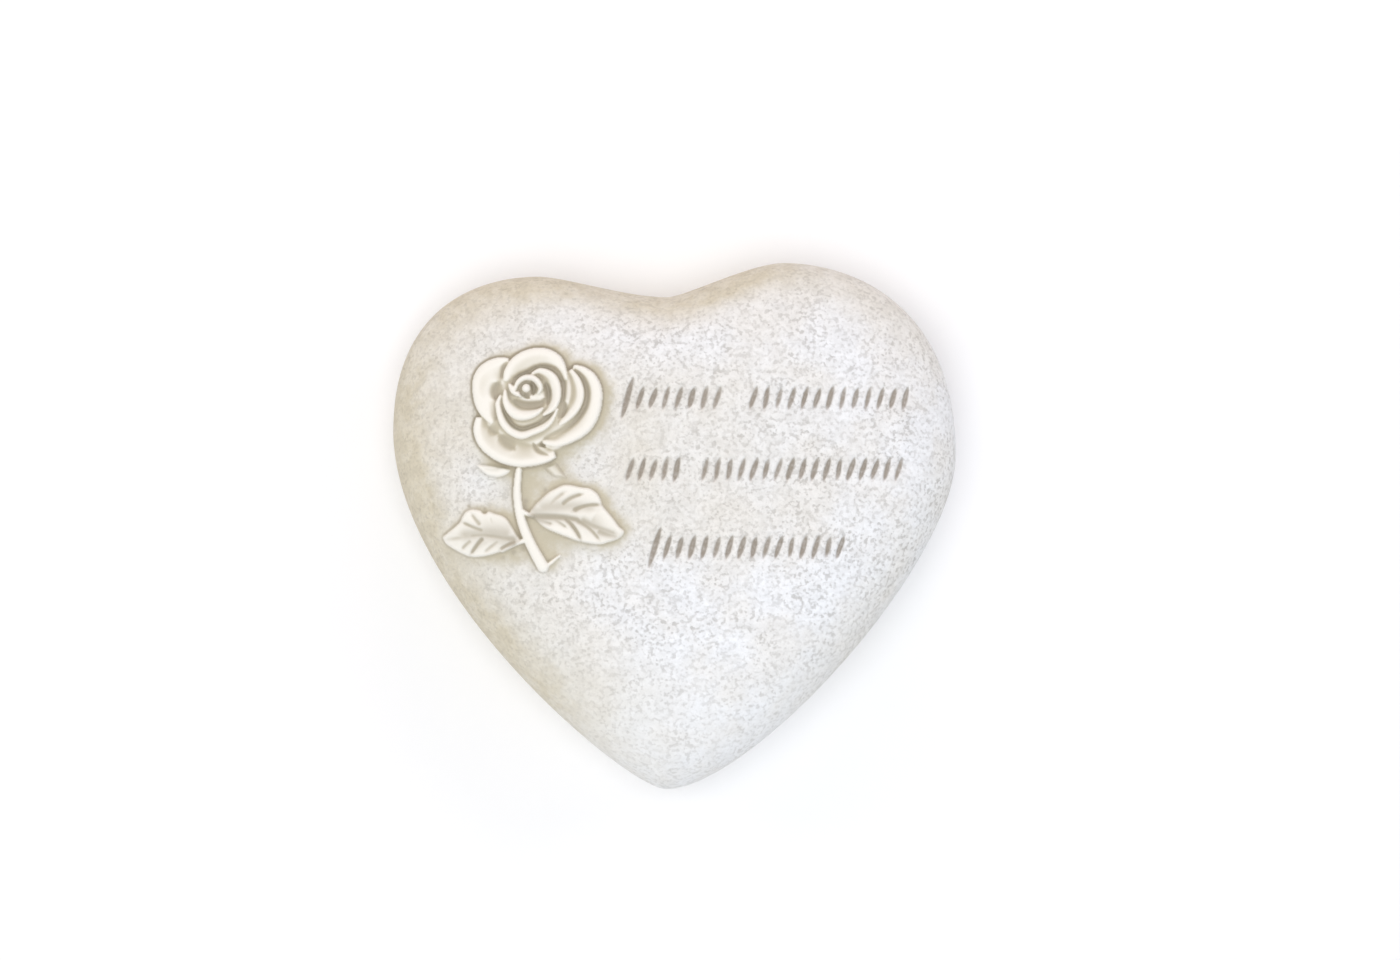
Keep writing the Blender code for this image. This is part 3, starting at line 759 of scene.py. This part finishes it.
def darken_foot(maps, standing):
    """The dark line of painted shade and stain at the foot of the carving, strongest at its upper left."""
    maps.foot = np.clip((blurred(standing, FOOT_REACH) - standing) / FOOT_REACH, 0, 1)
    climb_up, climb_right = np.gradient(blurred(standing, LIGHT_BLUR))
    climb = np.hypot(climb_up, climb_right) + 1e-9
    # painted shade whose strength depends on which way the relief rises
    maps.foot *= 0.76 + 0.24 * (0.8 * climb_right - 0.6 * climb_up) / climb


def spread_halo(maps, standing):
    """The beige stain and painted shadow on the ground round the carving."""
    near = smooth(0.0001, 0.0006, standing)
    shift = round(HALO_SHIFT / MAP_STEP)
    # painted shadow: the halo is shifted up and right near the carving, and down and right further out
    maps.halo = 0.60 * np.roll(blurred(near, NEAR_HALO), (shift // 2, shift), axis=(0, 1))
    maps.halo += 0.84 * np.roll(blurred(near, WIDE_HALO), (-shift, 2 * shift), axis=(0, 1))
    for u, v, radius, strength in GROUND_STAINS_AND_SHADE:
        maps.halo += strength * maps.spot(u, v, radius)


def carve():
    """All maps of the carving, and the stain and painted light and shade that its shape lays on the stone.
    """
    maps = HeightMaps()
    carve_rose(maps)
    for shape in LEAVES.values():
        add_leaf(maps, *shape)
    for points, widths, share in RIDGES:
        add_ridge(maps, points, widths, STEM_RISE * share)
    for place in POCKETS:
        add_pocket(maps, *place)
    standing = np.maximum(maps.relief, 0)
    wear_dirt_and_painted_light(maps, standing)
    darken_foot(maps, standing)
    spread_halo(maps, standing)
    maps.relief -= maps.foot * FOOT_GROOVE
    add_strokes(maps)
    maps.relief = blurred(maps.relief, SOFTENING)
    maps.foot = blurred(maps.foot, FOOT_BLUR)
    return maps


def face_points(maps):
    """Points of the face: a fine grid on the carving, a coarse one elsewhere, inside the rim."""
    carved = (np.abs(maps.relief) > RELIEF_LIMIT).astype(float)
    detail = blurred(carved, DETAIL_BLUR) > DETAIL_LIMIT
    row_step = FINE_STEP * sqrt(3) / 2
    rows = int(LENGTH / row_step)
    columns = int(WIDTH / FINE_STEP)
    j, i = np.meshgrid(np.arange(columns), np.arange(rows))
    x = -WIDTH / 2 + (j + 0.5 * (i % 2)) * FINE_STEP
    y = -LENGTH / 2 + i * row_step
    fine = maps.read(detail.astype(float), x.ravel(), y.ravel()).reshape(x.shape) > 0.5
    shift = COARSE_FACTOR // 2 * (i // COARSE_FACTOR % 2)
    coarse = (i % COARSE_FACTOR == 0) & ((j + shift) % COARSE_FACTOR == 0)
    keep = (fine | coarse) & (edge_share(x, y) < RIM_SHARE - RIM_GAP)
    return np.stack([x[keep], y[keep]], axis=1)


def waviness(x, y):
    """Soft unevenness of the cast face, a tenth of a millimetre high."""
    wave = np.zeros_like(x)
    for size, turn, phase in WAVES:
        wander = np.sin(2 * pi * (y * cos(turn) - x * sin(turn)) / (size * WAVE_BEND_LENGTH))
        run = 2 * pi * (x * cos(turn) + y * sin(turn)) / size
        wave += size * np.sin(run + phase + WAVE_BEND * wander)
    return wave * WAVE_SHARE


class Surface:
    """The points and faces of the heart, which grow ring by ring from the rim of the face."""

    def __init__(self, points, faces):
        self.points = [points]
        self.faces = faces
        self.count = len(points)
        self.ring = range(RIM_POINTS)

    def add_ring(self, places):
        """A further ring of points, joined to the ring before it."""
        ring = range(self.count, self.count + RIM_POINTS)
        for i in range(RIM_POINTS):
            after = (i + 1) % RIM_POINTS
            self.faces.append((self.ring[i], ring[i], ring[after], self.ring[after]))
        self.points.append(places)
        self.ring = ring
        self.count += RIM_POINTS

    def close(self):
        """The middle of the underside, joined to the last ring."""
        self.points.append(np.array([[0.0, 0.0, 0.0]]))
        for i in range(RIM_POINTS):
            self.faces.append((self.ring[i], self.count, self.ring[(i + 1) % RIM_POINTS]))
        self.count += 1


def make_face(maps, rim):
    """The face from graded points, with the points of the rim first."""
    flat = [Vector(p) for p in rim] + [Vector(p) for p in face_points(maps)]
    border = [(i, (i + 1) % RIM_POINTS) for i in range(RIM_POINTS)]
    verts, _, faces, *_ = delaunay_2d_cdt(flat, border, [], 0, 1e-7, False)
    plane = np.array(verts)
    faces = np.array(faces)
    middles = plane[faces].mean(axis=1)
    faces = faces[edge_share(middles[:, 0], middles[:, 1]) < RIM_SHARE]
    x, y = plane[:, 0], plane[:, 1]
    share = edge_share(x, y)
    z = face_height(x, y, share) + maps.read(maps.relief, x, y)
    z += waviness(x, y) * smooth(RIM_SHARE, RIM_SHARE - WAVE_FADE, share)
    return Surface(np.column_stack([plane, z]), faces.tolist()), plane


def rolled_ring(outline, size):
    """A ring on the rolled edge of the face, at a share of the way to the outline."""
    ring = outline * size
    return np.column_stack([ring, face_height(ring[:, 0], ring[:, 1], np.full(RIM_POINTS, size))])


def side_rings(outline):
    """Rings over the rolled edge of the face and down the side to the ground."""
    rings = []
    for turn in np.linspace(0, 1, FACE_RINGS + 1)[1:]:
        rings.append(rolled_ring(outline, 1 - (1 - RIM_SHARE) * cos(turn * pi / 2)))
    base = 1 - UNDERSIDE_INSET / (WIDTH / 2)
    sizes = [base + (1 - base) * sin(height * pi / 2) for height in SIDE_HEIGHTS]
    for size, height in zip(sizes + [base - BOTTOM_EDGE], SIDE_HEIGHTS + (0.0,)):
        rings.append(np.column_stack([outline * size, np.full(RIM_POINTS, WIDEST_HEIGHT * height)]))
    return rings


def heart_surface(maps):
    """Face, side and underside, the places of face and side in the texture map, and the number
    of faces before the underside."""
    outline = outline_points(RIM_POINTS)
    rim = outline * RIM_SHARE
    surface, plane = make_face(maps, rim)
    map_places = [plane]
    reach = 0.0
    last = rolled_ring(outline, RIM_SHARE)
    for ring in side_rings(outline):
        surface.add_ring(ring)
        reach += float(np.linalg.norm(ring - last, axis=1).mean())
        map_places.append(rim * (1 + reach / SIDE_SPREAD))
        last = ring
    upper_faces = len(surface.faces)
    for size in UNDERSIDE_RINGS:
        surface.add_ring(last * (size, size, 1.0))
    surface.close()
    return surface, np.concatenate(map_places), upper_faces


def warm_tint_and_painted_shade(x, y):
    """How strongly the face and side are tinted warmer and darker, from 0 to 1: most on the left, the rim
    and the notch. The warm tint on the left and top is painted warm light, the darkening of the rolled rim
    and side is painted shade, and the pink-brown in the notch is a painted reflection with painted shade.
    """
    across, up = 2 * x / WIDTH, 2 * y / LENGTH
    share = edge_share(x, y)
    rim = smooth(0.80, 0.99, share)
    # painted warm light: the left and the top are tinted warmer
    left = smooth(-0.08, -0.85, across) * (1 - 0.45 * smooth(0.35, 0.75, up))
    low_left = smooth(0.1, -0.5, across) * smooth(-0.2, -0.6, up) * (1 - rim)
    top = smooth(0.50, 0.95, up)
    notch = bell(across, 0.08, 0.28) * smooth(0.6, 0.9, up)
    flank = smooth(-0.70, -0.98, across) * bell(up, 0.12, 0.20)
    upper_left = bell(across, -0.84, 0.24) * bell(up, 0.71, 0.22)
    rows = smooth(-0.25, 0.05, up) * smooth(0.75, 0.45, up)
    rows *= smooth(-0.45, -0.15, across) * smooth(0.95, 0.0, across)
    paler_spot = bell(across, -0.69, 0.10) * bell(up, 0.18, 0.10)
    beside_rose = bell(across, -0.11, 0.08) * bell(up, 0.28, 0.28)
    low_rim = smooth(0.74, 0.92, share) * bell(up, -0.45, 0.30)
    below_leaf = bell(across, -0.14, 0.22) * bell(up, -0.62, 0.15)
    face = 0.62 * left + 0.32 * low_left + 0.16 * top + 0.32 * rows - 0.30 * paler_spot
    face += 0.16 * beside_rose + 0.14 * low_rim + 0.16 * notch + 0.16 * below_leaf
    # painted shade on the rolled rim and side, stronger on the left, the top and the left flank, with
    # painted reflection and shade in the notch
    darkening = 0.12 + 0.32 * smooth(0.3, -0.6, across) + 0.26 * smooth(0.4, 0.9, up)
    darkening += 0.86 * notch + 0.50 * flank - 0.24 * upper_left
    return np.clip(face + rim * darkening, 0, 1)


def pitting(y):
    """How much of the fine pitting shows: the tip is smoother than the rest."""
    return 1 - 0.35 * smooth(-0.35, -0.75, 2 * y / LENGTH)


def add_attribute(mesh, name, values):
    """A value per point that the material reads by name."""
    layer = mesh.attributes.new(name, "FLOAT", "POINT")
    layer.data.foreach_set("value", np.asarray(values, dtype=np.float32))


def add_texture_map(mesh, spread, places, upper_corners):
    """Face and side as one spread-out island, the underside as a small one beside the tip."""
    low, high = spread.min(0), spread.max(0)
    scale = MAP_FILL / (high - low).max()
    corners = np.empty(len(mesh.loops), dtype=np.int64)
    mesh.loops.foreach_get("vertex_index", corners)
    upper, under = corners[:upper_corners], corners[upper_corners:]
    uv = np.empty((len(corners), 2))
    uv[:upper_corners] = (spread[upper] - low) * scale + MAP_BORDER
    size = UNDERSIDE_ISLAND / WIDTH
    uv[upper_corners:] = (places[under, :2] - (-WIDTH / 2, -LENGTH / 2)) * size + UNDERSIDE_BORDER
    layer = mesh.uv_layers.new(name="OFBake")
    layer.data.foreach_set("uv", uv.astype(np.float32).ravel())


def add_object(name, data):
    """An object in the scene for a mesh, a lamp or a camera."""
    thing = bpy.data.objects.new(name, data)
    bpy.context.scene.collection.objects.link(thing)
    return thing


def make_heart():
    """The carved heart, with what its material needs to know at each point."""
    maps = carve()
    surface, spread, upper_faces = heart_surface(maps)
    places = np.concatenate(surface.points)
    mesh = bpy.data.meshes.new("carved_heart")
    mesh.from_pydata(places.tolist(), [], surface.faces)
    mesh.update()
    x, y = places[:, 0], places[:, 1]
    on_face = np.arange(len(places)) < len(surface.points[0])
    for name in ("foot", "halo", "raised", "hollow", "ink"):
        add_attribute(mesh, name, np.where(on_face, maps.read(getattr(maps, name), x, y), 0))
    # painted warm light and painted shade, as a warm darker tint at each point
    add_attribute(mesh, "warm_tint_and_shade", warm_tint_and_painted_shade(x, y))
    add_attribute(mesh, "pitted", pitting(y))
    mesh.shade_smooth()
    upper_corners = sum(len(face) for face in surface.faces[:upper_faces])
    add_texture_map(mesh, spread, places, upper_corners)
    return add_object("carved_heart", mesh)


class Nodes:
    """Short names for the few kinds of material nodes that the stone uses."""

    def __init__(self, material):
        material.use_nodes = True
        self.tree = material.node_tree
        self.shader = self.tree.nodes["Principled BSDF"]
        self.coordinates = self.tree.nodes.new("ShaderNodeTexCoord").outputs["Object"]

    def link(self, source, target):
        """A socket or a plain value goes into the target socket."""
        if hasattr(source, "is_linked"):
            self.tree.links.new(source, target)
        else:
            target.default_value = source

    def attribute(self, name):
        """The value that the mesh holds under this name."""
        node = self.tree.nodes.new("ShaderNodeAttribute")
        node.attribute_name = name
        return node.outputs["Fac"]

    def noise(self, feature, detail=3.0, roughness=0.6):
        """Cloudy noise with features of about the given size in metres."""
        node = self.tree.nodes.new("ShaderNodeTexNoise")
        node.inputs["Scale"].default_value = 1 / feature
        node.inputs["Detail"].default_value = detail
        node.inputs["Roughness"].default_value = roughness
        self.link(self.coordinates, node.inputs["Vector"])
        return node.outputs["Fac"]

    def math(self, operation, a, b):
        """Two values combined; sums, differences and products stay from 0 to 1."""
        node = self.tree.nodes.new("ShaderNodeMath")
        node.operation = operation
        node.use_clamp = operation in ("ADD", "MULTIPLY", "SUBTRACT")
        self.link(a, node.inputs[0])
        self.link(b, node.inputs[1])
        return node.outputs[0]

    def times(self, value, *factors):
        """A value multiplied by each factor in turn."""
        for factor in factors:
            value = self.math("MULTIPLY", value, factor)
        return value

    def step(self, value, low, high, bottom=0.0, top=1.0):
        """A soft step from bottom to top, while the value goes from low to high."""
        node = self.tree.nodes.new("ShaderNodeMapRange")
        node.interpolation_type = "SMOOTHSTEP"
        node.inputs["From Min"].default_value = low
        node.inputs["From Max"].default_value = high
        node.inputs["To Min"].default_value = bottom
        node.inputs["To Max"].default_value = top
        self.link(value, node.inputs["Value"])
        return node.outputs["Result"]

    def blend(self, share, low, high):
        """Colour that goes from low to high with the share."""
        node = self.tree.nodes.new("ShaderNodeMix")
        node.data_type = "RGBA"
        self.link(share, node.inputs["Factor"])
        self.link(low, node.inputs["A"])
        self.link(high, node.inputs["B"])
        return node.outputs["Result"]


def screen_colour(rgb):
    """A screen colour from 0 to 255 as the linear colour that a material holds."""
    values = []
    for value in rgb:
        share = value / 255
        values.append(share / 12.92 if share <= 0.04045 else ((share + 0.055) / 1.055) ** 2.4)
    return (*values, 1.0)


def pore_pattern(n, cloud, halo, pitted):
    """Fine dark pores and specks, fewer where the stone stands raised, under the warm tint of painted light
    and shade, and under the halo of stain and painted shadow.
    """
    dots = n.step(n.noise(PORES, 1.0, 0.5), 0.47, 0.66)
    patches = n.step(n.noise(PATCHES), 0.34, 0.62, 0.55, 1.0)
    clusters = n.step(n.noise(PORE_CLUSTERS, 2.0, 0.5), 0.38, 0.60, 0.62, 1.0)
    specks = n.times(n.step(n.noise(SPECKS, 2.0), 0.62, 0.72), n.step(cloud, 0.45, 0.65))
    on_raised = n.step(n.attribute("raised"), 0.0, 1.0, 1.0, 0.30)
    tinted_and_shaded = n.step(n.attribute("warm_tint_and_shade"), 0.0, 0.8, 1.0, 0.50)
    under_halo = n.step(halo, 0.0, 0.6, 1.0, 0.60)
    pores = n.math("MAXIMUM", n.times(dots, patches, clusters), specks)
    return n.times(pores, on_raised, tinted_and_shaded, under_halo, pitted)


def halo_pattern(n, cloud):
    """The stain and painted shadow round the carving, a little cloudy."""
    halo = n.times(n.attribute("halo"), n.step(cloud, 0.3, 0.7, 0.80, 1.20))
    halo = n.times(halo, n.step(n.noise(HALO_CLOUDS), 0.36, 0.64, 0.84, 1.12))
    return n.step(halo, 0.10, 0.74, 0.0, 0.95)


def stone_material():
    """Cream cast stone: mottled, finely pitted, with a brown stain and painted shade in the carving, and
    painted warm light and shade on the face and side.
    """
    material = bpy.data.materials.new("weathered cast stone")
    n = Nodes(material)
    cloud = n.noise(CLOUDS, 4.0, 0.55)
    grain = n.noise(GRAIN)
    mottle = n.noise(MOTTLES)
    pitted = n.attribute("pitted")
    halo = halo_pattern(n, cloud)
    pores = pore_pattern(n, cloud, halo, pitted)

    warm_tint_and_shade = n.times(n.attribute("warm_tint_and_shade"), n.step(cloud, 0.25, 0.75, 1.15, 0.80),
                   n.step(mottle, 0.36, 0.64, 1.08, 0.92))
    ink = n.times(n.step(n.attribute("ink"), 0.08, 0.80, 0.0, 0.9), n.step(grain, 0.25, 0.6, 0.7, 1.0))
    layers = (
        (n.step(cloud, 0.35, 0.65), WARM_STONE),
        # painted warm light on the left and painted shade on the rim, as a warm darker colour
        (warm_tint_and_shade, WARM_TINT_AND_SHADE),
        (n.times(pores, 0.37), DARK_PORE),
        (n.times(n.step(mottle, 0.38, 0.60, 0.070, 0.0), pitted), DARK_PORE),
        (n.times(n.step(grain, 0.30, 0.70, 0.11, 0.0), pitted), DARK_PORE),
        # the stain and painted shadow round the carving
        (halo, HALO_STAIN_AND_SHADOW),
        # worn pale tops with a painted highlight
        (n.times(n.attribute("raised"), 0.90), WORN_PALE_AND_HIGHLIGHT),
        # painted shade and stain at the foot of the carving
        (n.step(n.attribute("foot"), 0.05, 0.75, 0.0, 0.88), FOOT_LINE),
        # stain and painted shade in the hollows of the carving
        (n.step(n.attribute("hollow"), 0.0, 0.40, 0.0, 0.95), HOLLOW_STAIN_AND_SHADE),
        (ink, STROKE_STAIN),
    )
    stone = screen_colour(COOL_STONE)
    for share, colour in layers:
        stone = n.blend(share, stone, screen_colour(colour))
    n.link(stone, n.shader.inputs["Base Color"])
    n.link(n.step(grain, 0.3, 0.7, 0.86, 0.97), n.shader.inputs["Roughness"])
    n.shader.inputs["Specular IOR Level"].default_value = 0.25

    rough = n.math("ADD", n.times(grain, 0.5), n.times(n.noise(FINE_GRAIN, 2.0), 0.35))
    height = n.math("SUBTRACT", rough, n.times(pores, 0.4))
    bump = n.tree.nodes.new("ShaderNodeBump")
    bump.inputs["Strength"].default_value = 0.6
    bump.inputs["Distance"].default_value = 0.00035
    n.link(n.times(height, n.step(pitted, 0.4, 1.0, 0.6, 1.0)), bump.inputs["Height"])
    n.link(bump.outputs["Normal"], n.shader.inputs["Normal"])
    return material


def make_floor():
    """A plain pale floor under the heart."""
    mesh = bpy.data.meshes.new("floor")
    reach = FLOOR_REACH
    corners = [(-reach, -reach, 0), (reach, -reach, 0), (reach, reach, 0), (-reach, reach, 0)]
    mesh.from_pydata(corners, [], [(0, 1, 2, 3)])
    floor = add_object("floor", mesh)
    material = bpy.data.materials.new("white floor")
    material.use_nodes = True
    shader = material.node_tree.nodes["Principled BSDF"]
    shader.inputs["Base Color"].default_value = FLOOR_COLOUR
    shader.inputs["Roughness"].default_value = FLOOR_ROUGHNESS
    mesh.materials.append(material)


def add_light(name, place, size, watts, colour):
    """A soft round lamp that points at the heart."""
    data = bpy.data.lights.new(name, "AREA")
    data.shape = "DISK"
    data.size = size
    data.energy = watts
    data.color = colour
    lamp = add_object(name, data)
    lamp.location = place
    way = Vector(LAMP_TARGET) - lamp.location
    lamp.rotation_euler = way.to_track_quat("-Z", "Y").to_euler()


def make_lights():
    """Soft light from overhead, fainter coloured lamps round the heart, and a pale room."""
    for name, lamp in LAMPS.items():
        add_light(name, *lamp)
    world = bpy.data.worlds.new("room")
    world.use_nodes = True
    background = world.node_tree.nodes["Background"]
    background.inputs["Color"].default_value = ROOM_COLOUR
    background.inputs["Strength"].default_value = ROOM_STRENGTH
    bpy.context.scene.world = world


def make_camera():
    """Straight down on the face, so far away that the heart has the photograph's size."""
    pixels_per_metre = PIXELS_ACROSS_HEART / WIDTH
    distance = LENS / SENSOR * PHOTO_WIDTH / pixels_per_metre
    data = bpy.data.cameras.new("camera")
    data.lens = LENS
    data.sensor_width = SENSOR
    camera = add_object("camera", data)
    camera.location = (CAMERA_X, CAMERA_Y, WIDEST_HEIGHT + distance)
    bpy.context.scene.camera = camera


heart = make_heart()
heart.data.materials.append(stone_material())
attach(heart, "root")
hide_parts("grave_heart")
make_floor()
make_lights()
make_camera()
bpy.context.scene.view_settings.view_transform = "Standard"
